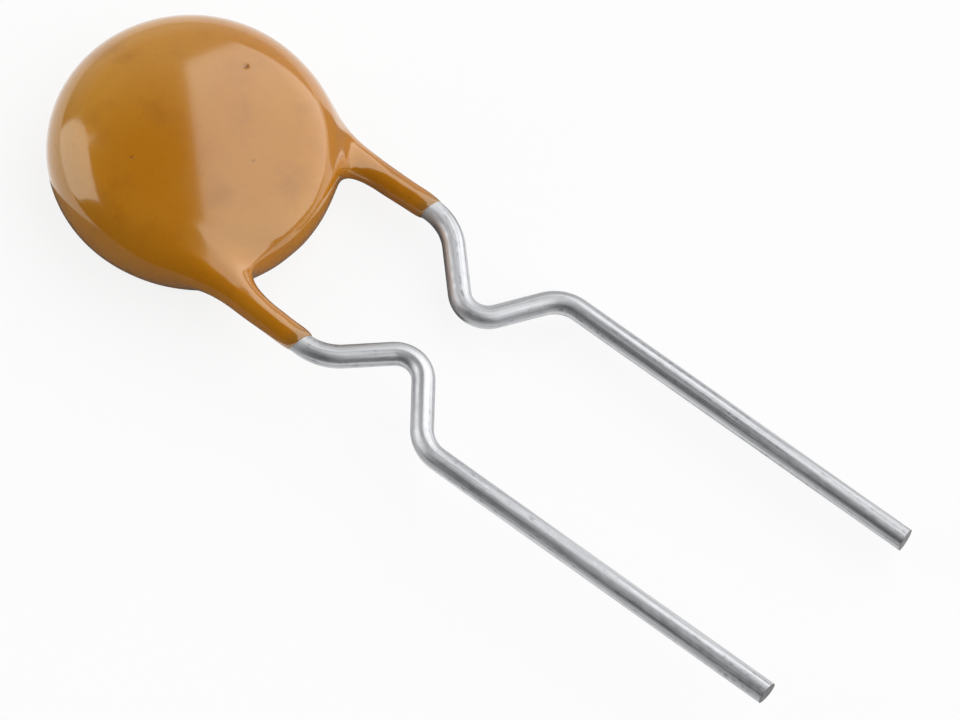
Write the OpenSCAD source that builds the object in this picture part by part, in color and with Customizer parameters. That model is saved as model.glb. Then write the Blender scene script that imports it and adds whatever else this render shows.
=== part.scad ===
// Radial-leaded resettable fuse, lying on its back face.
// x runs across the two wires, y from their cut ends up to the disc, z up.
// The front wire is soldered to the upper face of the chip, the back wire to the lower face.

/* [Chip] */
// Diameter of the conductive polymer disc and of its two foils
chip_d = 5.3; // [4.8:0.1:8]
// Thickness of the conductive polymer
polymer_t = 0.45; // [0.2:0.05:1]
// Thickness of each foil electrode
foil_t = 0.04; // [0.02:0.01:0.1]

/* [Wires] */
// Diameter of the tinned wires
wire_d = 0.51; // [0.4:0.01:0.65]
// Distance between the two straight ends, centre to centre
pitch = 5.08; // [4.6:0.01:7.6]
// Distance between the wires where they lie on the chip
root_gap = 4.37; // [3.6:0.01:4.5]
// Distance between the wires at their first bend
knee_gap = 4.69; // [4:0.01:6]
// Sideways offset of the disc's centre from the midline of the straight ends
disc_shift = 0.18; // [0:0.01:0.3]
// Sideways offset of the disc's centre from the midline of the first bends
knee_shift = 0.045; // [0:0.005:0.2]
// How far each wire reaches past the chip's centre line
wire_reach = 1; // [0.6:0.05:1.3]
// How far the kink comes in from the straight end
kink_depth = 1.81; // [1.2:0.01:1.9]
// Length of the kink's inward run, measured along the wires
kink_in = 1.65; // [1.3:0.05:2.5]
// Length of the kink's outward run, measured along the wires
kink_out = 1.3; // [1.2:0.05:2.5]
// Length of each wire below its kink, to the cut end
straight_len = 9.1; // [4:0.1:25]
// Radius of the bends on the wire's centre line
bend_r = 0.52; // [0.35:0.01:0.6]
// Slant of the sheared ends, in degrees
shear_angle = 4; // [0:1:20]

/* [Solder] */
// Length of each solder mound along its wire
solder_len = 2.7; // [2.3:0.1:3]
// Half width of each mound on the foil
solder_r = 0.4; // [0.35:0.01:0.45]
// Solder left between wire and foil
solder_film = 0.03; // [0.01:0.01:0.06]

/* [Coating] */
// Coating beyond the chip's edge
coat_edge = 0.48; // [0.3:0.02:0.8]
// Coating over the wires on each face
coat_face = 0.45; // [0.35:0.05:0.8]
// Rise of each face from its rounded rim to its middle
face_dome = 0.2; // [0.05:0.05:0.3]
// Coating on the wires below the disc
leg_coat = 0.045; // [0.03:0.005:0.12]
// Length of the coated legs below the disc's rim
leg_len = 1.6; // [1.4:0.05:4]
// Bare wire between the coating's end and the first bend
bare_len = 0.52; // [0.25:0.01:2]
// Radius of the fillet between a leg and the rim, on the legs' inner side
inner_fillet = 0.65; // [0.2:0.05:0.8]
// Radius of the fillet between a leg and the rim, on the outer side
outer_fillet = 6; // [4:0.5:8]
// Length over which a leg's coating rounds off to the bare wire
run_out = 0.2; // [0.1:0.05:0.3]
// Slant of the coating's ends, in degrees
end_slant = 20; // [0:1:35]

/* [Hidden] */
$fn = 48;
sides = 24;         // facets round a leg
flare_rings = 16;   // rings where a leg flares into the disc
leg_rings = 3;      // rings from the flare down to the run-out
end_rings = 5;      // rings in the run-out
last_ring = 72;     // angle of the rounded run-out at which it stops, in degrees
joint_skin = 0.003; // how far the joints of a wire's runs and bends stand proud of it
seat = 0.02;        // how far the flare's edges meet the disc inside its surface
root_share = 0.72;  // the flare's half thickness there, as a share of the rim's radius
ridge_share = 0.8;  // the coating on the wire inside the flare, as a share of the legs' coating
core_share = 0.5;   // how far in the flare's first ring lies, as a share of its place at the rim

wire_r = wire_d / 2;
chip_r = chip_d / 2;
foil_z = polymer_t / 2 + foil_t;
wire_z = foil_z + solder_film + wire_r;
disc_r = chip_r + coat_edge;
coat_h = wire_z + wire_r + coat_face;
rim_r = coat_h - face_dome;
leg_r = wire_r + leg_coat;
leg_end = disc_r + leg_len;
seat_r = disc_r - seat;
knee_drop = leg_end + bare_len;
kink_drop = knee_drop + kink_in;
straight_drop = kink_drop + kink_out;
tip_drop = straight_drop + straight_len;
disc_y = (tip_drop - disc_r) / 2;

// Every piece is drawn about the disc's centre, then put in the part's frame.
module placed() translate([0, disc_y, coat_h]) children();

// A wire, its solder and its leg are drawn with x outward and z towards the face they lie on.
module on_front() placed() mirror([1, 0, 0]) children();
module on_back() placed() mirror([0, 0, 1]) children();

// ---- wires ----

// x of a wire's straight end and of its first bend: side is 1 at the front and -1 at the back.
function end_x(side) = pitch / 2 + side * disc_shift;
function knee_x(side) = knee_gap / 2 + side * knee_shift;
// x of the wire's upper run at a distance below the disc's centre
function run_x(side, drop) = root_gap / 2 + (knee_x(side) - root_gap / 2) * drop / knee_drop;

function wire_path(side) = [
    [run_x(side, -wire_reach), wire_reach],
    [knee_x(side), -knee_drop],
    [end_x(side) - kink_depth, -kink_drop],
    [end_x(side), -straight_drop],
    [end_x(side), -tip_drop]
];

function heading(a, b) = atan2(b.y - a.y, b.x - a.x);
function turn(p, i) = let (t = heading(p[i], p[i + 1]) - heading(p[i - 1], p[i]))
    t > 180 ? t - 360 : t < -180 ? t + 360 : t;
// Length that the bend at a path's point takes from the runs on both sides of it
function setback(p, i) = i == 0 || i == len(p) - 1 ? 0 : bend_r * tan(abs(turn(p, i)) / 2);
function along(a, b, distance) = a + (b - a) * distance / norm(b - a);

module run(p, i) {
    start = along(p[i], p[i + 1], setback(p, i));
    length = norm(p[i + 1] - p[i]) - setback(p, i) - setback(p, i + 1);
    translate(start)
        rotate([0, 90, heading(p[i], p[i + 1])])
            cylinder(d = wire_d, h = length);
}

module bend(p, i) {
    swing = turn(p, i);
    lean = sign(swing) * 90;
    start = along(p[i], p[i - 1], setback(p, i));
    from = heading(p[i - 1], p[i]);
    translate(start + bend_r * [cos(from + lean), sin(from + lean)])
        rotate([0, 0, from - lean + min(swing, 0)])
            rotate_extrude(angle = abs(swing))
                translate([bend_r, 0])
                    circle(d = wire_d);
}

// Joins a bend to the runs on both sides of it, a hair proud of them
module joints(p, i) {
    for (q = [p[i - 1], p[i + 1]])
        translate(along(p[i], q, setback(p, i)))
            sphere(r = wire_r + joint_skin);
}

module wire(side) {
    p = wire_path(side);
    translate([0, 0, wire_z])
        difference() {
            union() {
                for (i = [0 : len(p) - 2]) run(p, i);
                for (i = [1 : len(p) - 2]) joints(p, i);
                for (i = [1 : len(p) - 2]) bend(p, i);
            }
            translate([end_x(side) - wire_r, -tip_drop])
                rotate([0, 0, shear_angle])
                    translate([-wire_d, -wire_d, -wire_d])
                        cube([4 * wire_d, wire_d, 2 * wire_d]);
        }
}

// ---- solder: a long mound on the foil that holds the wire, ending at the chip's edge ----

module mound(side) {
    top = [run_x(side, -solder_len / 2), solder_len / 2];
    foot = [run_x(side, solder_len / 2), -solder_len / 2];
    intersection() {
        translate([root_gap / 2, 0, foil_z]) sphere(r = solder_len / 2);
        translate([top.x, top.y, foil_z])
            rotate([0, 90, heading(top, foot)])
                cylinder(r = solder_r, h = norm(foot - top));
        translate([0, 0, foil_z]) cylinder(r = chip_r, h = 2 * solder_r);
    }
}

module solder(side)
    difference() {
        mound(side);
        wire(side);
    }

// ---- chip and foils ----

module chip_layer(z, t) translate([0, 0, z]) cylinder(r = chip_r, h = t);

// ---- coating ----

// Domed faces that run tangent into a fully rounded rim
module coated_disc() {
    flat_r = disc_r - rim_r;
    dome_r = (flat_r * flat_r + coat_h * coat_h - rim_r * rim_r) / (2 * face_dome);
    tangent_x = flat_r * dome_r / (dome_r - rim_r);
    rotate_extrude($fn = 96) {
        intersection() {
            translate([0, coat_h - dome_r]) circle(r = dome_r, $fn = 360);
            translate([0, dome_r - coat_h]) circle(r = dome_r, $fn = 360);
            translate([0, -coat_h]) square([tangent_x, 2 * coat_h]);
        }
        intersection() {
            translate([flat_r, 0]) circle(r = rim_r, $fn = 96);
            translate([0, -coat_h]) square([disc_r + rim_r, 2 * coat_h]);
        }
    }
}

// A fillet of radius f joins the disc's outline to a leg's side at x; f is negative on the inner side.
function fillet_centre(x, f) = [x + f, -sqrt(pow(seat_r + abs(f), 2) - pow(x + f, 2))];
// A point on it: t is 0 at the leg and 1 at the disc
function fillet_point(x, f, t) =
    let (c = fillet_centre(x, f),
         from = f > 0 ? 180 : 0,
         a = from + (atan2(-c.y, -c.x) - from) * t)
    c + abs(f) * [cos(a), sin(a)];

// One ring of a leg, an oval between two opposite points in plan, at height z
function oval(a, b, z, top, bottom) =
    [for (k = [0 : sides - 1])
        let (angle = 360 * k / sides,
             m = (a + b) / 2 + (b - a) / 2 * cos(angle),
             rise = sin(angle) > 0 ? top - z : z - bottom)
        [m.x, m.y, z + rise * sin(angle)]];

// Where the leg flares into the disc its edges sink from the wire's height to the rim's mid-plane.
function flare_ring(side, t) =
    let (x = run_x(side, disc_r), blend = t * t * (3 - 2 * t), under = wire_z - leg_r)
    oval(fillet_point(x - leg_r, -inner_fillet, t), fillet_point(x + leg_r, outer_fillet, t),
         wire_z * (1 - blend), wire_z + leg_r, under - blend * (under + root_share * rim_r));

// Below that it is round about the wire and its plane turns; skin is the coating left on the wire.
function leg_ring(side, share, drop, skin) =
    let (x = run_x(side, drop), r = wire_r + skin, reach = [r, side * tan(end_slant) * share * r])
    oval([x, -drop] - reach, [x, -drop] + reach, wire_z, wire_z + r, wire_z - r);

// The coating follows the wire from inside the disc down to the flare's foot.
module ridge(side, foot) {
    top = [run_x(side, 0), 0];
    end = [run_x(side, foot), -foot];
    translate([top.x, top.y, wire_z])
        rotate([0, 90, heading(top, end)])
            cylinder(r = wire_r + ridge_share * leg_coat, h = norm(end - top));
}

module leg(side) {
    foot = -fillet_centre(run_x(side, disc_r) - leg_r, -inner_fillet).y + leg_r;
    steady = leg_end - run_out;
    rings = concat(
        [core_share * flare_ring(side, 1)],
        [for (i = [flare_rings : -1 : 0]) flare_ring(side, i / flare_rings)],
        [for (i = [0 : leg_rings])
            leg_ring(side, i / leg_rings, foot + (steady - foot) * i / leg_rings, leg_coat)],
        [for (i = [1 : end_rings])
            let (a = last_ring * i / end_rings)
            leg_ring(side, 1, steady + run_out * sin(a), leg_coat * cos(a))]);
    last = len(rings) - 1;
    ridge(side, foot);
    polyhedron(
        points = [for (r = rings) each r],
        faces = concat(
            [[for (k = [0 : sides - 1]) k]],
            [for (i = [0 : last - 1], k = [0 : sides - 1], half = [0, 1])
                let (a = i * sides + k, b = i * sides + (k + 1) % sides)
                half == 0 ? [a, a + sides, b] : [b, a + sides, b + sides]],
            [[for (k = [sides - 1 : -1 : 0]) last * sides + k]]),
        convexity = 4);
}

module contents() {
    placed() chip_layer(-foil_z, 2 * foil_z);
    on_front() { mound(1); wire(1); }
    on_back() { mound(-1); wire(-1); }
}

// ---- nodes ----

module epoxy_coating() color("#B5701F")
    difference() {
        union() {
            placed() coated_disc();
            on_front() leg(1);
            on_back() leg(-1);
        }
        contents();
    }
module ptc_chip() color("#2B2B2D") placed() chip_layer(-polymer_t / 2, polymer_t);
module front_foil() color("#B9B4A6") placed() chip_layer(polymer_t / 2, foil_t);
module back_foil() color("#B9B4A6") placed() chip_layer(-foil_z, foil_t);
module front_solder() color("#9FA3A6") on_front() solder(1);
module back_solder() color("#9FA3A6") on_back() solder(-1);
module front_lead() color("#D0D2D4") on_front() wire(1);
module back_lead() color("#D0D2D4") on_back() wire(-1);

epoxy_coating();
ptc_chip();
front_foil();
back_foil();
front_solder();
back_solder();
front_lead();
back_lead();
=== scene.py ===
# Radial-leaded resettable fuse: an epoxy-dipped disc on two kinked, tinned leads, on a pale floor.
# Lengths in the dictionaries are in millimetres unless they say otherwise; meshes are in metres.
import math

import bpy
from mathutils import Matrix, Vector


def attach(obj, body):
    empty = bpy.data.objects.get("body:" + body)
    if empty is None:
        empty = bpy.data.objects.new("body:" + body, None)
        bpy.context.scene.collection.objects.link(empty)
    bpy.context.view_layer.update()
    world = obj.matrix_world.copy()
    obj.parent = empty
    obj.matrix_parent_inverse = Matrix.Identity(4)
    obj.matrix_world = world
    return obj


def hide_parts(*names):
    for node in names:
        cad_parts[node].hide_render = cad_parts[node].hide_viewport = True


mm = 0.001
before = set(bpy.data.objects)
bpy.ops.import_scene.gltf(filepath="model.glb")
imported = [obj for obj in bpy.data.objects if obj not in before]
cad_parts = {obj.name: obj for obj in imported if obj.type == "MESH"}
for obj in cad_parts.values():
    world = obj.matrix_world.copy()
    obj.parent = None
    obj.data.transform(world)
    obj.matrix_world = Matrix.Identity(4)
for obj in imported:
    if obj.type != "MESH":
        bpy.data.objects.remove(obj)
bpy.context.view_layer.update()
scene = bpy.context.scene


def report(text):
    print("[fuse]", text)


def linear(hexColour):
    # sRGB hex to the linear colour that the shaders take
    parts = [int(hexColour[i:i + 2], 16) / 255 for i in (1, 3, 5)]
    parts = [c / 12.92 if c <= 0.04045 else ((c + 0.055) / 1.055) ** 2.4 for c in parts]
    return (*parts, 1.0)


def addNode(tree, kind, inputs=(), **settings):
    # inputs: values, sockets or nodes, as a list in socket order or a dictionary by socket name
    node = tree.nodes.new(kind)
    row, column = divmod(len(tree.nodes), 12)
    node.location = (190 * column, -260 * row)
    for name, value in settings.items():
        setattr(node, name, value)
    for name, value in inputs.items() if isinstance(inputs, dict) else enumerate(inputs):
        if isinstance(value, bpy.types.Node):
            value = value.outputs[0]
        if isinstance(value, bpy.types.NodeSocket):
            tree.links.new(value, node.inputs[name])
        else:
            node.inputs[name].default_value = value
    return node


def newTree(name, inputs, output="Geometry"):
    # a Geometry Nodes tree, or a group for one; inputs is a list of (name, kind, value)
    tree = bpy.data.node_groups.new(name, "GeometryNodeTree")
    for label, kind, value in inputs:
        socket = tree.interface.new_socket(label, in_out="INPUT", socket_type="NodeSocket" + kind)
        if value is not None:
            socket.default_value = value
    kind = "NodeSocketGeometry" if output == "Geometry" else "NodeSocketFloat"
    tree.interface.new_socket(output, in_out="OUTPUT", socket_type=kind)
    return tree, addNode(tree, "NodeGroupInput").outputs, addNode(tree, "NodeGroupOutput")


def moveAlongNormal(tree, geometry, distance):
    normal = addNode(tree, "GeometryNodeInputNormal")
    offset = addNode(tree, "ShaderNodeVectorMath", {0: normal, "Scale": distance},
                     operation="SCALE")
    return addNode(tree, "GeometryNodeSetPosition", {"Geometry": geometry, "Offset": offset})


def placeAndDress(tree, given, geometry):
    # from millimetres about the disc's centre to metres in the frame, as one solid of one material
    centre = addNode(tree, "ShaderNodeCombineXYZ", [0.0, given["Disc y"], given["Half thickness"]])
    centre = addNode(tree, "ShaderNodeVectorMath", {0: centre, "Scale": mm}, operation="SCALE")
    placed = addNode(tree, "GeometryNodeTransform", {
        "Geometry": geometry, "Translation": centre, "Scale": (mm,) * 3})
    solid = addNode(tree, "GeometryNodeRealizeInstances", [placed])
    return addNode(tree, "GeometryNodeSetMaterial", {
        "Geometry": solid, "Material": given["Material"]})


def runTree(tree, name, values, material):
    # runs the tree on an empty object, and keeps the result as a plain mesh
    host = bpy.data.objects.new(name + "Host", bpy.data.meshes.new(name + "Host"))
    scene.collection.objects.link(host)
    modifier = host.modifiers.new("Shape", "NODES")
    modifier.node_group = tree
    for item in tree.interface.items_tree:
        if item.in_out == "INPUT" and item.name in values:
            modifier[item.identifier] = values[item.name]
    bpy.context.view_layer.update()
    shown = host.evaluated_get(bpy.context.evaluated_depsgraph_get())
    mesh = bpy.data.meshes.new_from_object(shown)
    bpy.data.objects.remove(host)
    mesh.name = name
    mesh.materials.clear()
    mesh.materials.append(material)
    for polygon in mesh.polygons:
        polygon.use_smooth = True
    piece = bpy.data.objects.new(name, mesh)
    scene.collection.objects.link(piece)
    return piece


def newMaterial(name, shader):
    # shader holds what is the same all over the surface
    material = bpy.data.materials.new(name)
    material.use_nodes = True
    tree = material.node_tree
    surface = tree.nodes["Principled BSDF"]
    for label, value in shader.items():
        surface.inputs[label].default_value = value
    return material, tree, surface


def patternScale(size):
    # noise scale for a pattern of this size, on Object coordinates in metres
    return 1 / (size * mm)


epoxyLook = {
    "amber": "#B46F06",
    "ochre": "#C38628",     # in random clouds, and as painted light that makes the far rim lighter
    "brown": "#9C5C08",     # where it pooled
    "grain": "#8F5A1C",     # pigment grains
    "film": "#94662A",      # where it thins out over the wire
    "pit": "#6A3F14",       # darker in the pinholes
    "warmth": "#FFFACE",    # what the body leaves of a reflection under the clear skin
    "index": 1.58,          # of refraction, for the skin and the body
    "skinBlur": 0.085,      # roughness of the skin
    "cloudSize": 2.6,
    "cloudWeight": 0.9,     # of the clouds, beside the painted light towards the far rim
    "paintedLightStart": 7.2,       # along Y: the painted light on the far rim, from none to full
    "paintedLightFull": 10.2,
    "poolSize": 1.04,
    "grainSpacing": 0.175,
    "peelSize": 0.9,        # between ripples of the skin
    "peelDepth": 0.0006,
    # from a pattern's own values to how much of it shows
    "cloudedAndPaintedLight": {"From Min": 0.35, "From Max": 1.2},
    "pooled": {"From Min": 0.52, "From Max": 0.8, "To Max": 0.6},
    "grained": {"From Min": 0.16, "From Max": 0.3, "To Min": 0.12, "To Max": 0.0},
    # and to the body's roughness
    "bodyBlur": {"From Min": 0.3, "From Max": 0.7, "To Min": 0.12, "To Max": 0.22},
}


def makeEpoxy():
    # Amber epoxy, dipped and baked: a clear skin gives a crisp gloss over a warm, clouded body,
    # with painted light that makes the far rim lighter
    look = epoxyLook
    material, tree, surface = newMaterial("dippedAmberEpoxy", {
        "IOR": look["index"], "Specular Tint": linear(look["warmth"]),
        "Coat Weight": 1.0, "Coat Roughness": look["skinBlur"], "Coat IOR": look["index"]})
    place = addNode(tree, "ShaderNodeTexCoord").outputs["Object"]
    height = addNode(tree, "ShaderNodeSeparateXYZ", [place]).outputs["Y"]
    # painted light: the far rim is made lighter, towards the ochre, along Y
    paintedLightFarRim = addNode(tree, "ShaderNodeMapRange", {
        "Value": height, "From Min": look["paintedLightStart"] * mm, "From Max": look["paintedLightFull"] * mm})
    cloudsAndPaintedLight = addNode(tree, "ShaderNodeTexNoise", {
        "Vector": place, "Scale": patternScale(look["cloudSize"]), "Detail": 3.0})
    cloudsAndPaintedLight = addNode(tree, "ShaderNodeMath", [cloudsAndPaintedLight, look["cloudWeight"], paintedLightFarRim],
                     operation="MULTIPLY_ADD")
    pools = addNode(tree, "ShaderNodeTexNoise", {
        "Vector": place, "Scale": patternScale(look["poolSize"]), "Detail": 4.0, "Roughness": 0.6})
    grains = addNode(tree, "ShaderNodeTexVoronoi", {
        "Vector": place, "Scale": patternScale(look["grainSpacing"])}).outputs["Distance"]
    masks = {
        "ochre": addNode(tree, "ShaderNodeMapRange", {"Value": cloudsAndPaintedLight, **look["cloudedAndPaintedLight"]}),
        "brown": addNode(tree, "ShaderNodeMapRange", {"Value": pools, **look["pooled"]}),
        "grain": addNode(tree, "ShaderNodeMapRange", {"Value": grains, **look["grained"]}),
        "film": addNode(tree, "ShaderNodeAttribute", attribute_name="film").outputs["Fac"],
        "pit": addNode(tree, "ShaderNodeAttribute", attribute_name="pit").outputs["Fac"],
    }
    colour = linear(look["amber"])
    for layer, mask in masks.items():
        colour = addNode(tree, "ShaderNodeMix", {
            "Factor": mask, "A": colour, "B": linear(look[layer])},
            data_type="RGBA").outputs["Result"]
    tree.links.new(colour, surface.inputs["Base Color"])
    blur = addNode(tree, "ShaderNodeMapRange", {"Value": pools, **look["bodyBlur"]})
    tree.links.new(blur.outputs[0], surface.inputs["Roughness"])
    ripples = addNode(tree, "ShaderNodeTexNoise", {
        "Vector": place, "Scale": patternScale(look["peelSize"]), "Detail": 1.0})
    peel = addNode(tree, "ShaderNodeBump", {
        "Strength": 1.0, "Distance": look["peelDepth"] * mm, "Height": ripples})
    for socket in ("Normal", "Coat Normal"):
        tree.links.new(peel.outputs[0], surface.inputs[socket])
    return material


tinLook = {
    "grey": "#B6B7BA",
    "light": "#D8D9DB",
    "dark": "#6E6F73",      # where scuffs cross the deepest lines
    "smear": "#E6E8EA",     # a thin film of epoxy on the wire below the coating
    "cut": "#7C797A",       # bare copper-clad steel, smeared with tin
    "coatingEnd": 2.35,     # along Y
    "smearReach": 0.7,
    "smearBlur": 0.2,       # how much rougher the smear is
    "cutDepth": 0.012,
    "lineWidth": 0.04,      # of the lines that drawing leaves
    "lineLength": 2.5,
    "lineDepth": 0.002,
    "scuffSize": 0.16,
    # from a pattern's own values to how much of it shows
    "bright": {"From Min": 0.42, "From Max": 0.58},
    "worn": {"From Min": 0.86, "From Max": 0.7, "To Max": 0.5},
    "smeared": {"From Min": 0.9, "From Max": 1.5, "To Max": 0.6},
    # and to the roughness
    "blur": {"From Min": 0.3, "From Max": 0.7, "To Min": 0.55, "To Max": 0.4},
}


def makeTin():
    # Matte tin plate on drawn wire: a soft grey sheen, fine lengthwise lines and a few scuffs
    look = tinLook
    material, tree, surface = newMaterial("matteTinPlate", {"Metallic": 1.0})
    # both attributes are in millimetres: along the wire from its cut, and across it
    fromCut = addNode(tree, "ShaderNodeAttribute", attribute_name="fromCut").outputs["Fac"]
    around = addNode(tree, "ShaderNodeAttribute", attribute_name="around").outputs["Vector"]
    lengthwise = addNode(tree, "ShaderNodeCombineXYZ", [0.0, 0.0, fromCut])
    spot = addNode(tree, "ShaderNodeVectorMath", [around, lengthwise], operation="ADD")
    width, length = 1 / look["lineWidth"], 1 / look["lineLength"]
    drawn = addNode(tree, "ShaderNodeVectorMath", [spot, (width, width, length)],
                    operation="MULTIPLY")
    lines = addNode(tree, "ShaderNodeTexNoise", {
        "Vector": drawn, "Scale": 0.5, "Detail": 2.0, "Roughness": 0.6})
    scuffs = addNode(tree, "ShaderNodeTexNoise", {
        "Vector": spot, "Scale": 1 / look["scuffSize"], "Detail": 3.0, "Roughness": 0.65})
    rubbed = addNode(tree, "ShaderNodeMath", [lines, scuffs], operation="ADD")
    # the smear is patchy, and fades out below the coating
    place = addNode(tree, "ShaderNodeTexCoord").outputs["Object"]
    height = addNode(tree, "ShaderNodeSeparateXYZ", [place]).outputs["Y"]
    start = look["coatingEnd"] * mm
    smear = addNode(tree, "ShaderNodeMapRange", {
        "Value": height, "From Min": start - look["smearReach"] * mm, "From Max": start})
    smear = addNode(tree, "ShaderNodeMath", [smear, scuffs], operation="ADD")
    masks = {
        "light": addNode(tree, "ShaderNodeMapRange", {"Value": lines, **look["bright"]}),
        "dark": addNode(tree, "ShaderNodeMapRange", {"Value": rubbed, **look["worn"]}),
        "smear": addNode(tree, "ShaderNodeMapRange", {"Value": smear, **look["smeared"]}),
        "cut": addNode(tree, "ShaderNodeMapRange", {
            "Value": fromCut, "From Min": look["cutDepth"], "From Max": 0.0}),
    }
    colour = linear(look["grey"])
    for layer, mask in masks.items():
        colour = addNode(tree, "ShaderNodeMix", {
            "Factor": mask, "A": colour, "B": linear(look[layer])},
            data_type="RGBA").outputs["Result"]
    tree.links.new(colour, surface.inputs["Base Color"])
    blur = addNode(tree, "ShaderNodeMapRange", {"Value": scuffs, **look["blur"]})
    blur = addNode(tree, "ShaderNodeMath", [masks["smear"], look["smearBlur"], blur],
                   operation="MULTIPLY_ADD")
    tree.links.new(blur.outputs[0], surface.inputs["Roughness"])
    relief = addNode(tree, "ShaderNodeMath", [lines, scuffs], operation="MULTIPLY")
    ridges = addNode(tree, "ShaderNodeBump", {
        "Strength": 1.0, "Distance": look["lineDepth"] * mm, "Height": relief})
    tree.links.new(ridges.outputs[0], surface.inputs["Normal"])
    return material


innerLooks = {
    # carbon-filled polyethylene, pressed: near black with a waxy sheen
    "carbonPolyethylene": {
        "nodes": ["ptc_chip"], "dark": "#19191B", "light": "#262628", "grain": 0.05,
        "shader": {"Roughness": 0.45, "IOR": 1.51}},
    # electrodeposited nickel foil: warm grey metal with a fine nodular grain
    "nickelFoil": {
        "nodes": ["front_foil", "back_foil"], "dark": "#B0A89C", "light": "#C4BDB2", "grain": 0.02,
        "shader": {"Metallic": 1.0, "Roughness": 0.38}},
    # tin solder, reflowed: bright and slightly cloudy
    "reflowedSolder": {
        "nodes": ["front_solder", "back_solder"], "dark": "#C2C4C6", "light": "#D2D4D6",
        "grain": 0.15, "shader": {"Metallic": 1.0, "Roughness": 0.24}},
}
grainRelief = 0.05          # depth of a grain, as a share of its size


def makeInner(name, look):
    material, tree, surface = newMaterial(name, look["shader"])
    place = addNode(tree, "ShaderNodeTexCoord").outputs["Object"]
    noise = addNode(tree, "ShaderNodeTexNoise", {
        "Vector": place, "Scale": patternScale(look["grain"]), "Detail": 3.0})
    colour = addNode(tree, "ShaderNodeMix", {
        "Factor": noise, "A": linear(look["dark"]), "B": linear(look["light"])}, data_type="RGBA")
    tree.links.new(colour.outputs["Result"], surface.inputs["Base Color"])
    bump = addNode(tree, "ShaderNodeBump", {
        "Strength": 1.0, "Distance": look["grain"] * grainRelief * mm, "Height": noise})
    tree.links.new(bump.outputs[0], surface.inputs["Normal"])
    return material


epoxy = makeEpoxy()
tin = makeTin()
for name, look in innerLooks.items():
    inner = makeInner(name, look)
    for node in look["nodes"]:
        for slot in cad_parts[node].material_slots:
            slot.material = inner
report("materials made")

# where the coating and the wires meet; a drop is a distance below the disc's centre
layout = {
    "Half thickness": 1.255,
    "Wire height": 0.55,    # of each wire above or below the disc's mid-plane
    "Root x": 2.185,        # of each wire, beside the disc's centre
}
discY = 7.085
kneeDrop = 5.25             # where the wires turn into their kinks
kneeX = {"front": 2.39, "back": 2.30}

coating = {
    **layout,
    "Disc radius": 3.126,
    "Rim radius": 1.055,
    "Face dome": 0.2,
    "Droop": 0.06,          # how much lower the rim hangs between the legs
    "Leg radius": 0.3,
    "Wire radius": 0.25,    # a little under the wire's own, so that the coating ends inside it
    "Leg top": 1.25,        # a drop, as are the other tops and ends
    "Leg end": 4.73,
    "Run out": 0.45,        # over which the coating thins down to the wire
    "End slant": math.tan(math.radians(20)),
    "Ragged": 0.12,         # how unevenly it ends
    "Ragged scale": 2.2,    # scales are in waves per millimetre
    "Web": 0.38,            # extra width at the front leg's root, on the side between the legs
    "Back web": 0.1,
    "Web top": 1.6,
    "Web end": 3.9,
    "Fillet": 1.35,         # reach of the blend into the legs, at the rim
    "Face fillet": 0.3,     # and on the faces
    "Fillet low": 0.45,     # heights from the mid-plane between which it changes
    "Fillet high": 1.1,
}
coatingSkin = {
    "Disc y": discY,
    "Voxel": 0.045,
    "Wave": 0.0015,         # height of the slow waves all over
    "Wave scale": 0.5,
    "Leg lump": 0.09,       # height of the lumps on the legs
    "Lump scale": 0.9,
    "Lump start": -2.6,     # along Y from the disc's centre
    "Lump full": -3.6,
    "Pit depth": 0.03,
    "Film reach": 0.4,      # from the coating's end
    "Film share": 0.8,
}
# corners of a block of voxels with room for the whole coating, about the disc's centre
blockLow, blockHigh = (-3.4, -5.0, -1.4), (3.4, 3.4, 1.4)
skinPasses = 3              # that draw the voxels' skin onto the exact surface
pitHeight = 1.13            # of the face, from the mid-plane
pitSquash = (1.0, 1.0, 0.25)    # a pinhole reaches four times as far through the face as along it
pitFloor = 0.2              # flat part of a pinhole, as a share of its radius
# pinholes: x and y from the disc's centre, 1 in front or -1 at the back, and the radius
pits = [(1.86, 0.02, 1, 0.07), (-1.38, 0.59, 1, 0.04), (1.37, -1.76, 1, 0.03),
        (0.16, -1.47, 1, 0.035), (-0.95, -2.72, 1, 0.045), (-0.4, 1.9, -1, 0.06),
        (1.1, -1.2, -1, 0.04), (-1.7, -0.6, -1, 0.035)]
# what both legs take from the coating, and then what each has of its own
sharedByLegs = ["Root x", "Wire height", "Leg radius", "Wire radius", "Leg top", "Leg end",
                "Run out", "Ragged", "Ragged scale", "Web top", "Web end"]
coatingLegs = [
    {"mirror": (-1, 1, 1), "slope": (kneeX["front"] - layout["Root x"]) / kneeDrop,
     "slantSign": 1.0, "web": "Web"},
    {"mirror": (1, 1, -1), "slope": (kneeX["back"] - layout["Root x"]) / kneeDrop,
     "slantSign": -1.0, "web": "Back web"},
]


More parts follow.
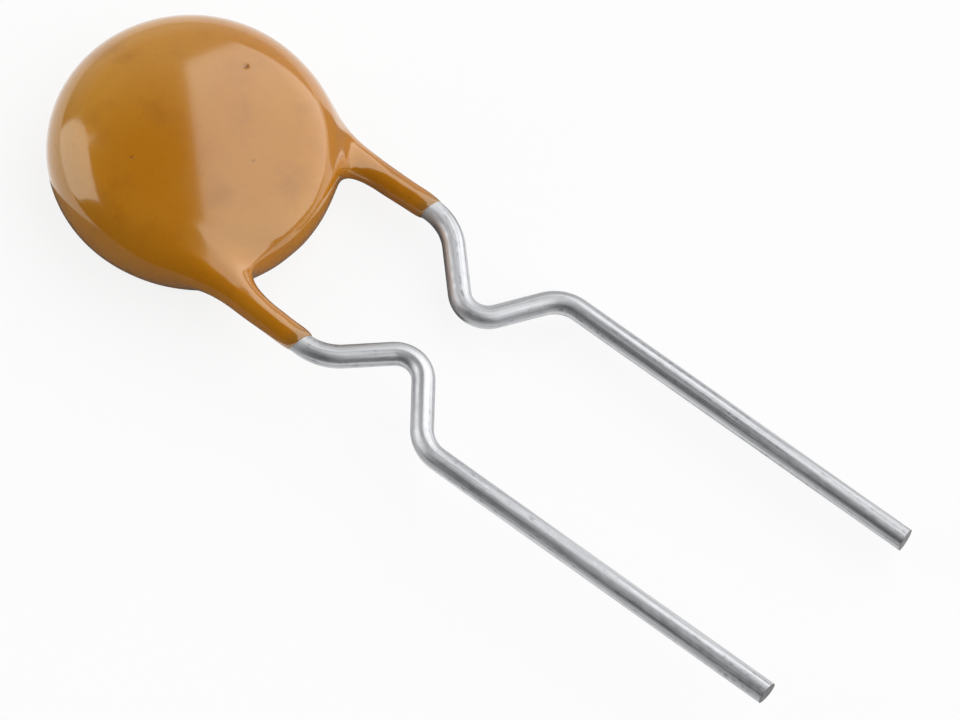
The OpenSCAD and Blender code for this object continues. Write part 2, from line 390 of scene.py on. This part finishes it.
def legGroup():
    # distance to one coated leg, about the disc's centre: outward is +x, the wire's own face is +z
    ownInputs = ["Slope", "Slant", "Web"]
    tree, given, result = newTree("legDistance", [("Position", "Vector", None)] + [
        (name, "Float", None) for name in sharedByLegs + ownInputs], "Distance")
    at = addNode(tree, "ShaderNodeSeparateXYZ", [given["Position"]]).outputs
    drop = addNode(tree, "ShaderNodeMath", [at["Y"], -1.0], operation="MULTIPLY")
    axis = addNode(tree, "ShaderNodeMath", [drop, given["Slope"], given["Root x"]],
                   operation="MULTIPLY_ADD")
    across = addNode(tree, "ShaderNodeMath", [at["X"], axis], operation="SUBTRACT")
    # a flat web widens the root on its inner side
    web = addNode(tree, "ShaderNodeMapRange", {
        "Value": drop, "From Min": given["Web end"], "From Max": given["Web top"],
        "To Max": given["Web"]}, interpolation_type="SMOOTHSTEP")
    inner = addNode(tree, "ShaderNodeMath", [across, web], operation="ADD")
    inner = addNode(tree, "ShaderNodeMath", [inner, 0.0], operation="MINIMUM")
    outer = addNode(tree, "ShaderNodeMath", [across, 0.0], operation="MAXIMUM")
    reach = addNode(tree, "ShaderNodeMath", [inner, outer], operation="ADD")
    height = addNode(tree, "ShaderNodeMath", [at["Z"], given["Wire height"]], operation="SUBTRACT")
    above = addNode(tree, "ShaderNodeMath", [given["Leg top"], drop], operation="SUBTRACT")
    above = addNode(tree, "ShaderNodeMath", [above, 0.0], operation="MAXIMUM")
    offset = addNode(tree, "ShaderNodeCombineXYZ", [reach, height, above])
    radial = addNode(tree, "ShaderNodeVectorMath", [offset], operation="LENGTH").outputs["Value"]
    # the coating rounds off to the wire over the run-out, along a slanted, ragged end
    place = addNode(tree, "ShaderNodeMath", [across, given["Slant"], drop],
                    operation="MULTIPLY_ADD")
    rough = addNode(tree, "ShaderNodeTexNoise", {
        "Vector": given["Position"], "Scale": given["Ragged scale"], "Detail": 1.0})
    rough = addNode(tree, "ShaderNodeMath", [rough, 0.5], operation="SUBTRACT")
    place = addNode(tree, "ShaderNodeMath", [rough, given["Ragged"], place],
                    operation="MULTIPLY_ADD")
    left = addNode(tree, "ShaderNodeMath", [given["Leg end"], place], operation="SUBTRACT")
    share = addNode(tree, "ShaderNodeMath", [left, given["Run out"]], operation="DIVIDE",
                    use_clamp=True)
    inverse = addNode(tree, "ShaderNodeMath", [1.0, share], operation="SUBTRACT")
    squared = addNode(tree, "ShaderNodeMath", [inverse, inverse], operation="MULTIPLY")
    rounding = addNode(tree, "ShaderNodeMath", [1.0, squared], operation="SUBTRACT")
    rounding = addNode(tree, "ShaderNodeMath", [rounding], operation="SQRT")
    skin = addNode(tree, "ShaderNodeMath", [given["Leg radius"], given["Wire radius"]],
                   operation="SUBTRACT")
    radius = addNode(tree, "ShaderNodeMath", [skin, rounding, given["Wire radius"]],
                     operation="MULTIPLY_ADD")
    side = addNode(tree, "ShaderNodeMath", [radial, radius], operation="SUBTRACT")
    end = addNode(tree, "ShaderNodeMath", [left, -1.0], operation="MULTIPLY")
    both = addNode(tree, "ShaderNodeMath", [side, end], operation="MAXIMUM")
    tree.links.new(both.outputs[0], result.inputs[0])
    return tree


def coatingGroup(leg):
    # signed distance to the whole coating, in millimetres about the disc's centre
    tree, given, result = newTree("coatingDistance", [("Position", "Vector", None)] + [
        (name, "Float", value) for name, value in coating.items()], "Distance")
    at = addNode(tree, "ShaderNodeSeparateXYZ", [given["Position"]]).outputs
    # the rim hangs a little lower on the legs' side
    reach = addNode(tree, "ShaderNodeMath", [given["Disc radius"], given["Droop"]], operation="ADD")
    squeeze = addNode(tree, "ShaderNodeMath", [given["Disc radius"], reach], operation="DIVIDE")
    low = addNode(tree, "ShaderNodeMath", [at["Y"], 0.0], operation="MINIMUM")
    high = addNode(tree, "ShaderNodeMath", [at["Y"], 0.0], operation="MAXIMUM")
    y = addNode(tree, "ShaderNodeMath", [low, squeeze, high], operation="MULTIPLY_ADD")
    plan = addNode(tree, "ShaderNodeCombineXYZ", [at["X"], y, 0.0])
    out = addNode(tree, "ShaderNodeVectorMath", [plan], operation="LENGTH").outputs["Value"]
    up = addNode(tree, "ShaderNodeMath", [at["Z"]], operation="ABSOLUTE")
    # a shallow dome for each face, tangent to a fully rounded rim; dome is its radius
    flat = addNode(tree, "ShaderNodeMath", [given["Disc radius"], given["Rim radius"]],
                   operation="SUBTRACT")
    flat2 = addNode(tree, "ShaderNodeMath", [flat, flat], operation="MULTIPLY")
    half2 = addNode(tree, "ShaderNodeMath", [
        given["Half thickness"], given["Half thickness"], flat2], operation="MULTIPLY_ADD")
    rim2 = addNode(tree, "ShaderNodeMath", [given["Rim radius"], given["Rim radius"]],
                   operation="MULTIPLY")
    top = addNode(tree, "ShaderNodeMath", [half2, rim2], operation="SUBTRACT")
    twice = addNode(tree, "ShaderNodeMath", [given["Face dome"], 2.0], operation="MULTIPLY")
    dome = addNode(tree, "ShaderNodeMath", [top, twice], operation="DIVIDE")
    sink = addNode(tree, "ShaderNodeMath", [dome, given["Half thickness"]], operation="SUBTRACT")
    lift = addNode(tree, "ShaderNodeMath", [up, sink], operation="ADD")
    fromDome = addNode(tree, "ShaderNodeCombineXYZ", [out, lift, 0.0])
    fromDome = addNode(tree, "ShaderNodeVectorMath", [fromDome],
                       operation="LENGTH").outputs["Value"]
    face = addNode(tree, "ShaderNodeMath", [fromDome, dome], operation="SUBTRACT")
    beyond = addNode(tree, "ShaderNodeMath", [out, flat], operation="SUBTRACT")
    fromRim = addNode(tree, "ShaderNodeCombineXYZ", [beyond, up, 0.0])
    fromRim = addNode(tree, "ShaderNodeVectorMath", [fromRim],
                      operation="LENGTH").outputs["Value"]
    rim = addNode(tree, "ShaderNodeMath", [fromRim, given["Rim radius"]], operation="SUBTRACT")
    # outside the line from the dome's centre through the rim's, the rim is nearer
    one = addNode(tree, "ShaderNodeMath", [out, sink], operation="MULTIPLY")
    two = addNode(tree, "ShaderNodeMath", [flat, lift], operation="MULTIPLY")
    outside = addNode(tree, "ShaderNodeMath", [one, two], operation="GREATER_THAN")
    whole = addNode(tree, "ShaderNodeMix", {"Factor": outside, "A": face, "B": rim},
                    data_type="FLOAT").outputs["Result"]
    # the blend reaches far along the rim, and little across the faces
    fillet = addNode(tree, "ShaderNodeMapRange", {
        "Value": up, "From Min": given["Fillet low"], "From Max": given["Fillet high"],
        "To Min": given["Fillet"], "To Max": given["Face fillet"]}, interpolation_type="SMOOTHSTEP")
    shared = {name: given[name] for name in sharedByLegs}
    for own in coatingLegs:
        folded = addNode(tree, "ShaderNodeVectorMath", [given["Position"], own["mirror"]],
                         operation="MULTIPLY")
        slant = addNode(tree, "ShaderNodeMath", [given["End slant"], own["slantSign"]],
                        operation="MULTIPLY")
        part = addNode(tree, "GeometryNodeGroup", {
            **shared, "Position": folded, "Slope": own["slope"], "Slant": slant,
            "Web": given[own["web"]]}, node_tree=leg)
        whole = addNode(tree, "ShaderNodeMath", [whole, part, fillet],
                        operation="SMOOTH_MIN").outputs[0]
    tree.links.new(whole, result.inputs[0])
    return tree


def coatingTree():
    distance = coatingGroup(legGroup())
    tree, given, result = newTree("coatingShape", [
        (name, "Float", value) for name, value in {**coating, **coatingSkin}.items()]
        + [("Material", "Material", None)])
    form = {name: given[name] for name in coating}
    place = addNode(tree, "GeometryNodeInputPosition")
    inside = addNode(tree, "GeometryNodeGroup", {**form, "Position": place}, node_tree=distance)
    inside = addNode(tree, "ShaderNodeMath", [inside, -1.0], operation="MULTIPLY")
    cells = {}
    for axis, low, high in zip("XYZ", blockLow, blockHigh):
        cells["Resolution " + axis] = addNode(tree, "ShaderNodeMath", [high - low, given["Voxel"]],
                                              operation="DIVIDE")
    block = addNode(tree, "GeometryNodeVolumeCube", {
        "Density": inside, "Background": -1.0, "Min": blockLow, "Max": blockHigh, **cells})
    skin = addNode(tree, "GeometryNodeVolumeToMesh", {
        "Volume": block, "Threshold": 0.0, "Adaptivity": 0.0})
    for step in range(skinPasses):
        miss = addNode(tree, "GeometryNodeGroup", {
            **form, "Position": addNode(tree, "GeometryNodeInputPosition")}, node_tree=distance)
        miss = addNode(tree, "ShaderNodeMath", [miss, -1.0], operation="MULTIPLY")
        skin = moveAlongNormal(tree, skin, miss)
    place = addNode(tree, "GeometryNodeInputPosition")
    height = addNode(tree, "ShaderNodeSeparateXYZ", [place]).outputs["Y"]
    waves = addNode(tree, "ShaderNodeTexNoise", {
        "Vector": place, "Scale": given["Wave scale"], "Detail": 0.0})
    waves = addNode(tree, "ShaderNodeMath", [waves, 0.5], operation="SUBTRACT")
    lift = addNode(tree, "ShaderNodeMath", [waves, given["Wave"]], operation="MULTIPLY")
    # the legs' coating is lumpier
    lumps = addNode(tree, "ShaderNodeTexNoise", {
        "Vector": place, "Scale": given["Lump scale"], "Detail": 1.0})
    lumps = addNode(tree, "ShaderNodeMath", [lumps, 0.5], operation="SUBTRACT")
    onLegs = addNode(tree, "ShaderNodeMapRange", {
        "Value": height, "From Min": given["Lump start"], "From Max": given["Lump full"],
        "To Max": given["Leg lump"]})
    lift = addNode(tree, "ShaderNodeMath", [lumps, onLegs, lift], operation="MULTIPLY_ADD")
    # pinholes stand at their own points, and all go equally deep
    hole = 0.0
    for x, y, side, radius in pits:
        away = addNode(tree, "ShaderNodeVectorMath", [place, (x, y, side * pitHeight)],
                       operation="SUBTRACT")
        away = addNode(tree, "ShaderNodeVectorMath", [away, pitSquash], operation="MULTIPLY")
        away = addNode(tree, "ShaderNodeVectorMath", [away], operation="LENGTH").outputs["Value"]
        near = addNode(tree, "ShaderNodeMapRange", {
            "Value": away, "From Min": pitFloor * radius, "From Max": radius,
            "To Min": 1.0, "To Max": 0.0}, interpolation_type="SMOOTHSTEP")
        hole = addNode(tree, "ShaderNodeMath", [hole, near], operation="MAXIMUM")
    sunk = addNode(tree, "ShaderNodeMath", [hole, given["Pit depth"]], operation="MULTIPLY")
    lift = addNode(tree, "ShaderNodeMath", [lift, sunk], operation="SUBTRACT")
    end = addNode(tree, "ShaderNodeMath", [given["Leg end"], -1.0], operation="MULTIPLY")
    start = addNode(tree, "ShaderNodeMath", [end, given["Film reach"]], operation="ADD")
    film = addNode(tree, "ShaderNodeMapRange", {
        "Value": height, "From Min": start, "From Max": end, "To Min": 0.0,
        "To Max": given["Film share"]}, interpolation_type="SMOOTHSTEP")
    for label, mask in (("pit", hole), ("film", film)):
        skin = addNode(tree, "GeometryNodeStoreNamedAttribute", {
            "Geometry": skin, "Name": label, "Value": mask}, domain="POINT")
    skin = moveAlongNormal(tree, skin, lift)
    tree.links.new(placeAndDress(tree, given, skin).outputs[0], result.inputs[0])
    return tree


epoxyCoating = runTree(coatingTree(), "epoxyCoating", {**coating, **coatingSkin}, epoxy)
report("coating has %d faces" % len(epoxyCoating.data.polygons))
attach(epoxyCoating, "root")
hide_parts("epoxy_coating")

leads = {
    **layout,
    "Disc y": discY,
    "Wire radius": 0.254,
    "Wire reach": 1.0,      # past the chip's centre line
    "Knee drop": kneeDrop,
    "Kink drop": 6.9,
    "Straight drop": 8.2,
    "Tip drop": 17.3,
    "Kink depth": 1.81,
    "Knee bend": 1.25,      # radii along the middle of the wire
    "Kink bend": 0.6,
    "Straight bend": 0.85,
    "Shear": math.tan(math.radians(4)),
    "Lip": 0.05,            # the burr that the shears leave, as a share of the radius
    "Lip length": 0.12,
    "Edge power": 9.0,      # how sharply the burr's edge turns in
    "Edge turn": -2.2,      # and how far, in lips
    "Wobble": 0.006,        # height of the waves in the tin
    "Wobble scale": 6.0,    # waves per millimetre across the wire
    "Wobble stretch": 0.12, # how much slower they run along it
    "Calm length": 0.5,     # the waves die out and the shear starts this far from the cut
}
# whole numbers: rings in each bend, rings in all, and corners of each ring
leadCounts = {"Bend rings": 24, "Rings": 420, "Corners around": 40}
# Side and Face are the signs of a wire's x and z
leadSides = {
    "frontLead": {"replaces": "front_lead", "Side": -1.0, "Face": 1.0, "Knee x": kneeX["front"],
                  "End x": 2.72, "Seed": 3.0},
    "backLead": {"replaces": "back_lead", "Side": 1.0, "Face": -1.0, "Knee x": kneeX["back"],
                 "End x": 2.36, "Seed": 8.0},
}
sharpEdge = math.radians(50)


def leadTree():
    tree, given, result = newTree("leadShape", (
        [(name, "Float", value) for name, value in leads.items()]
        + [(name, "Int", value) for name, value in leadCounts.items()]
        + [(name, "Float", 1.0) for name in ("Side", "Face", "Knee x", "End x", "Seed")]
        + [("Material", "Material", None)]))
    # five corners, from the chip down to the cut end, with a bend at each of the middle three
    run = addNode(tree, "ShaderNodeMath", [given["Knee x"], given["Root x"]], operation="SUBTRACT")
    slope = addNode(tree, "ShaderNodeMath", [run, given["Knee drop"]], operation="DIVIDE")
    past = addNode(tree, "ShaderNodeMath", [slope, given["Wire reach"]], operation="MULTIPLY")
    topX = addNode(tree, "ShaderNodeMath", [given["Root x"], past], operation="SUBTRACT")
    topDrop = addNode(tree, "ShaderNodeMath", [given["Wire reach"], -1.0], operation="MULTIPLY")
    kinkX = addNode(tree, "ShaderNodeMath", [given["End x"], given["Kink depth"]],
                    operation="SUBTRACT")
    corners = [(topX, topDrop, 0.0), (given["Knee x"], given["Knee drop"], given["Knee bend"]),
               (kinkX, given["Kink drop"], given["Kink bend"]),
               (given["End x"], given["Straight drop"], given["Straight bend"]),
               (given["End x"], given["Tip drop"], 0.0)]
    index = addNode(tree, "GeometryNodeInputIndex")
    corner = addNode(tree, "GeometryNodeIndexSwitch", data_type="VECTOR")
    bend = addNode(tree, "GeometryNodeIndexSwitch", data_type="FLOAT")
    for switch in (corner, bend):
        while len(switch.index_switch_items) < len(corners):
            switch.index_switch_items.new()
        tree.links.new(index.outputs[0], switch.inputs["Index"])
    for i, (x, drop, radius) in enumerate(corners):
        point = addNode(tree, "ShaderNodeCombineXYZ", [x, drop, given["Wire height"]])
        tree.links.new(point.outputs[0], corner.inputs[i + 1])
        if radius:
            tree.links.new(radius, bend.inputs[i + 1])
    turned = addNode(tree, "ShaderNodeCombineXYZ", [given["Side"], -1.0, given["Face"]])
    corner = addNode(tree, "ShaderNodeVectorMath", [corner, turned], operation="MULTIPLY")
    line = addNode(tree, "GeometryNodeMeshLine", {"Count": len(corners)})
    line = addNode(tree, "GeometryNodeSetPosition", {"Geometry": line, "Position": corner})
    bent = addNode(tree, "GeometryNodeMeshToCurve", [line])
    bent = addNode(tree, "GeometryNodeFilletCurve", {
        "Curve": bent, "Count": given["Bend rings"], "Radius": bend}, mode="POLY")
    length = addNode(tree, "GeometryNodeCurveLength", [bent]).outputs[0]

    # rings along it, a twentieth of them over the lip at the cut
    bodyShare = 0.95
    share = addNode(tree, "GeometryNodeSplineParameter").outputs["Factor"]
    tipShare = addNode(tree, "ShaderNodeMath", [given["Lip length"], length], operation="DIVIDE")
    rest = addNode(tree, "ShaderNodeMath", [1.0, tipShare], operation="SUBTRACT")
    body = addNode(tree, "ShaderNodeMapRange", {
        "Value": share, "From Max": bodyShare, "To Max": rest})
    tip = addNode(tree, "ShaderNodeMapRange", {
        "Value": share, "From Min": bodyShare, "To Min": rest})
    where = addNode(tree, "ShaderNodeMath", [share, bodyShare], operation="GREATER_THAN")
    where = addNode(tree, "ShaderNodeMix", {"Factor": where, "A": body, "B": tip},
                    data_type="FLOAT").outputs["Result"]
    rail = addNode(tree, "GeometryNodeCurvePrimitiveLine")
    rail = addNode(tree, "GeometryNodeResampleCurve", {"Curve": rail, "Count": given["Rings"]})
    found = addNode(tree, "GeometryNodeSampleCurve", {"Curves": bent, "Factor": where},
                    mode="FACTOR")
    left = addNode(tree, "ShaderNodeMath", [1.0, where], operation="SUBTRACT")
    left = addNode(tree, "ShaderNodeMath", [left, length], operation="MULTIPLY")
    rail = addNode(tree, "GeometryNodeStoreNamedAttribute", {
        "Geometry": rail, "Name": "fromCut", "Value": left}, domain="POINT")
    rail = addNode(tree, "GeometryNodeSetPosition", {
        "Geometry": rail, "Position": found.outputs["Position"]})
    rail = addNode(tree, "GeometryNodeSetCurveNormal", [rail], mode="Z_UP")
    # a burr stands out near the cut, and its edge turns in
    near = addNode(tree, "ShaderNodeMapRange", {
        "Value": left, "From Min": 0.0, "From Max": given["Lip length"],
        "To Min": 1.0, "To Max": 0.0})
    burr = addNode(tree, "ShaderNodeMath", [near, given["Lip"], 1.0], operation="MULTIPLY_ADD")
    edge = addNode(tree, "ShaderNodeMath", [near, given["Edge power"]], operation="POWER")
    edge = addNode(tree, "ShaderNodeMath", [edge, given["Lip"]], operation="MULTIPLY")
    burr = addNode(tree, "ShaderNodeMath", [edge, given["Edge turn"], burr],
                   operation="MULTIPLY_ADD")
    rail = addNode(tree, "GeometryNodeSetCurveRadius", {"Curve": rail, "Radius": burr})
    ring = addNode(tree, "GeometryNodeCurvePrimitiveCircle", {
        "Resolution": given["Corners around"], "Radius": given["Wire radius"]})
    shifted = addNode(tree, "ShaderNodeVectorMath", [
        addNode(tree, "GeometryNodeInputPosition"), given["Seed"]], operation="ADD")
    ring = addNode(tree, "GeometryNodeStoreNamedAttribute", {
        "Geometry": ring, "Name": "around", "Value": shifted},
        data_type="FLOAT_VECTOR", domain="POINT")
    wire = addNode(tree, "GeometryNodeCurveToMesh", {
        "Curve": rail, "Profile Curve": ring, "Fill Caps": True})

    # the tin lies a little unevenly, in lengthwise waves that die out at the cut
    fromCut = addNode(tree, "GeometryNodeInputNamedAttribute", {"Name": "fromCut"},
                      data_type="FLOAT").outputs[0]
    around = addNode(tree, "GeometryNodeInputNamedAttribute", {"Name": "around"},
                     data_type="FLOAT_VECTOR")
    slow = addNode(tree, "ShaderNodeMath", [fromCut, given["Wobble stretch"]], operation="MULTIPLY")
    slow = addNode(tree, "ShaderNodeCombineXYZ", [0.0, 0.0, slow])
    spot = addNode(tree, "ShaderNodeVectorMath", [around, slow], operation="ADD")
    swell = addNode(tree, "ShaderNodeTexNoise", {
        "Vector": spot, "Scale": given["Wobble scale"], "Detail": 2.0})
    swell = addNode(tree, "ShaderNodeMath", [swell, 0.5], operation="SUBTRACT")
    swell = addNode(tree, "ShaderNodeMath", [swell, given["Wobble"]], operation="MULTIPLY")
    calm = addNode(tree, "ShaderNodeMapRange", {
        "Value": fromCut, "From Min": 0.0, "From Max": given["Calm length"]})
    swell = addNode(tree, "ShaderNodeMath", [swell, calm], operation="MULTIPLY")
    wire = moveAlongNormal(tree, wire, swell)
    # the cut face leans a little
    at = addNode(tree, "GeometryNodeInputPosition")
    at = addNode(tree, "ShaderNodeSeparateXYZ", [at]).outputs
    outward = addNode(tree, "ShaderNodeMath", [at["X"], given["Side"]], operation="MULTIPLY")
    inner = addNode(tree, "ShaderNodeMath", [given["End x"], given["Wire radius"]],
                    operation="SUBTRACT")
    outward = addNode(tree, "ShaderNodeMath", [outward, inner], operation="SUBTRACT")
    lean = addNode(tree, "ShaderNodeMath", [outward, given["Shear"]], operation="MULTIPLY")
    fade = addNode(tree, "ShaderNodeMapRange", {
        "Value": fromCut, "From Min": 0.0, "From Max": given["Calm length"],
        "To Min": 1.0, "To Max": 0.0})
    lean = addNode(tree, "ShaderNodeMath", [lean, fade], operation="MULTIPLY")
    lean = addNode(tree, "ShaderNodeCombineXYZ", [0.0, lean, 0.0])
    wire = addNode(tree, "GeometryNodeSetPosition", {"Geometry": wire, "Offset": lean})
    tree.links.new(placeAndDress(tree, given, wire).outputs[0], result.inputs[0])
    return tree


shapeOfLead = leadTree()
for name, side in leadSides.items():
    lead = runTree(shapeOfLead, name, {**leads, **leadCounts, **side}, tin)
    lead.data.set_sharp_from_angle(angle=sharpEdge)
    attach(lead, "root")
    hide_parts(side["replaces"])
report("leads made")

studio = {
    "paper": "#F4F4F4",
    "whiteness": 0.85,      # how much of the sweep is plain white, over the part's own shadow
    "shadeCardGrey": "#707070",
    "cardHeight": 0.02,
    "farSide": (0.784, 0.621, 0.0),
    "wallAngles": (0.42, 0.92),     # cosines from the far side, where the wall starts and is full
    "skyLow": 0.03,
    "skyHigh": 0.62,
    "panelDistance": 0.5,   # metres
    "panelLight": 1.75,
}
# facing points from the part to the panel, roll is in degrees, and span and rise are the panel's
# edges, in panel distances
panels = {
    "keyPanel": {"facing": (0.5, -0.5, 0.707), "roll": -4, "span": (-1.2, 1.06),
                 "rise": (-1.0, 0.9)},
    "sidePanel": {"facing": (0.383, 0.907, 0.177), "roll": 22.4, "span": (0.54, 2.8),
                  "rise": (-1.0, 1.04)},
}
floorOutline = [(-2000.0, -2000.0), (2000.0, -2000.0), (2000.0, 2000.0), (-2000.0, 2000.0)]
# painted shade: grey cards on the floor, seen only in gloss, stand in for the floor's shade in the
# disc's reflection and keep its rim from going pale beside the white
reflectedShadeCards = {
    "leftCard": [(-1.8, 9.4), (-2.0, 4.4), (-3.4, 3.4), (-300.0, -40.0), (-300.0, 120.0)],
    "middleCard": [(-1.0, 0.3), (1.3, 0.3), (2.4, 3.4), (2.0, 4.9), (-2.0, 4.9)],
    "rightCard": [(4.0, 4.5), (4.0, 2.2), (9.0, -0.8), (16.0, -3.5), (16.0, 3.5), (9.0, 4.0)],
    "frontCard": [(-8.0, -11.5), (12.0, -11.5), (40.0, -30.0), (300.0, -300.0), (-60.0, -300.0)],
}


def addPanel(name, facing, roll, span, rise):
    # a rectangular lamp turned to the part, with the given edges
    back = Vector(facing).normalized()
    across = Vector((-back.y, back.x, 0)).normalized()
    turned = Matrix.Rotation(math.radians(roll), 3, back)
    across, up = turned @ across, turned @ back.cross(across)
    far = studio["panelDistance"]
    lamp = bpy.data.lights.new(name, "AREA")
    lamp.shape = "RECTANGLE"
    lamp.size, lamp.size_y = (span[1] - span[0]) * far, (rise[1] - rise[0]) * far
    lamp.energy = studio["panelLight"] * math.pi * lamp.size * lamp.size_y
    panel = bpy.data.objects.new(name, lamp)
    scene.collection.objects.link(panel)
    centre = (back + across * sum(span) / 2 + up * sum(rise) / 2) * far
    axes = Matrix((across, up, back)).transposed()
    panel.matrix_world = Matrix.Translation(centre) @ axes.to_4x4()
    panel.visible_camera = False


def addFlat(name, outline, height, material):
    # one flat face of the studio
    mesh = bpy.data.meshes.new(name)
    corners = [(x * mm, y * mm, height * mm) for x, y in outline]
    mesh.from_pydata(corners, [], [tuple(range(len(outline)))])
    mesh.materials.append(material)
    flat = bpy.data.objects.new(name, mesh)
    scene.collection.objects.link(flat)
    return flat


def makePaper():
    # matte white paper sweep, plain white to the camera but for the part's soft shadow
    material, tree, surface = newMaterial("paperSweep", {
        "Base Color": linear(studio["paper"]), "Roughness": 0.9})
    ray = addNode(tree, "ShaderNodeLightPath").outputs
    seen = addNode(tree, "ShaderNodeMath", [ray["Is Camera Ray"], ray["Is Glossy Ray"]],
                   operation="MAXIMUM")
    seen = addNode(tree, "ShaderNodeMath", [seen, ray["Is Transmission Ray"]], operation="MAXIMUM")
    share = addNode(tree, "ShaderNodeMath", [seen, studio["whiteness"]], operation="MULTIPLY")
    white = addNode(tree, "ShaderNodeEmission", {"Color": (1, 1, 1, 1), "Strength": 1.0})
    both = addNode(tree, "ShaderNodeMixShader", [share, surface, white])
    tree.links.new(both.outputs[0], tree.nodes["Material Output"].inputs["Surface"])
    return material


def makeSky():
    # a dim room with a pale wall on the far side
    world = bpy.data.worlds.new("dimRoom")
    world.use_nodes = True
    tree = world.node_tree
    way = addNode(tree, "ShaderNodeTexCoord").outputs["Generated"]
    toward = addNode(tree, "ShaderNodeVectorMath", [way, studio["farSide"]],
                     operation="DOT_PRODUCT").outputs["Value"]
    start, full = studio["wallAngles"]
    wall = addNode(tree, "ShaderNodeMapRange", {
        "Value": toward, "From Min": start, "From Max": full, "To Min": studio["skyLow"],
        "To Max": studio["skyHigh"]}, interpolation_type="SMOOTHSTEP")
    background = tree.nodes["Background"]
    tree.links.new(wall.outputs[0], background.inputs["Strength"])
    background.inputs["Color"].default_value = (1, 1, 1, 1)
    return world


for name, panel in panels.items():
    addPanel(name, **panel)
studioFloor = addFlat("studioFloor", floorOutline, 0.0, makePaper())
# the cards' grey is painted shade, seen only in reflections
reflectedShadeCard = newMaterial("reflectedShadeCard", {"Base Color": linear(studio["shadeCardGrey"]), "Roughness": 0.9})[0]
for name, outline in reflectedShadeCards.items():
    card = addFlat(name, outline, studio["cardHeight"], reflectedShadeCard)
    card.visible_camera = card.visible_diffuse = False
    card.visible_shadow = card.visible_transmission = False
scene.world = makeSky()

cameraView = {
    "target": (0.4924, -0.3623, -0.2531),
    "distance": 241.59,
    "azimuth": -59.033,     # degrees, as are elevation and roll
    "elevation": 65.144,
    "roll": 6.727,
    "lens": 423.64,
    "sensor": 36,
}
shot = bpy.data.cameras.new("productCamera")
shot.lens = cameraView["lens"]
shot.sensor_width = cameraView["sensor"]
shot.clip_start = 0.01      # metres
camera = bpy.data.objects.new("productCamera", shot)
scene.collection.objects.link(camera)
turn, tilt = math.radians(cameraView["azimuth"]), math.radians(cameraView["elevation"])
back = Vector((math.sin(turn) * math.cos(tilt), -math.cos(turn) * math.cos(tilt), math.sin(tilt)))
level = Vector((math.cos(turn), math.sin(turn), 0))
facing = Matrix((level, back.cross(level), back)).transposed() @ Matrix.Rotation(
    math.radians(cameraView["roll"]), 3, "Z")
camera.matrix_world = Matrix.Translation(
    (Vector(cameraView["target"]) + back * cameraView["distance"]) * mm) @ facing.to_4x4()
scene.camera = camera
scene.view_settings.view_transform = "Standard"
report("camera, lights and floor made")
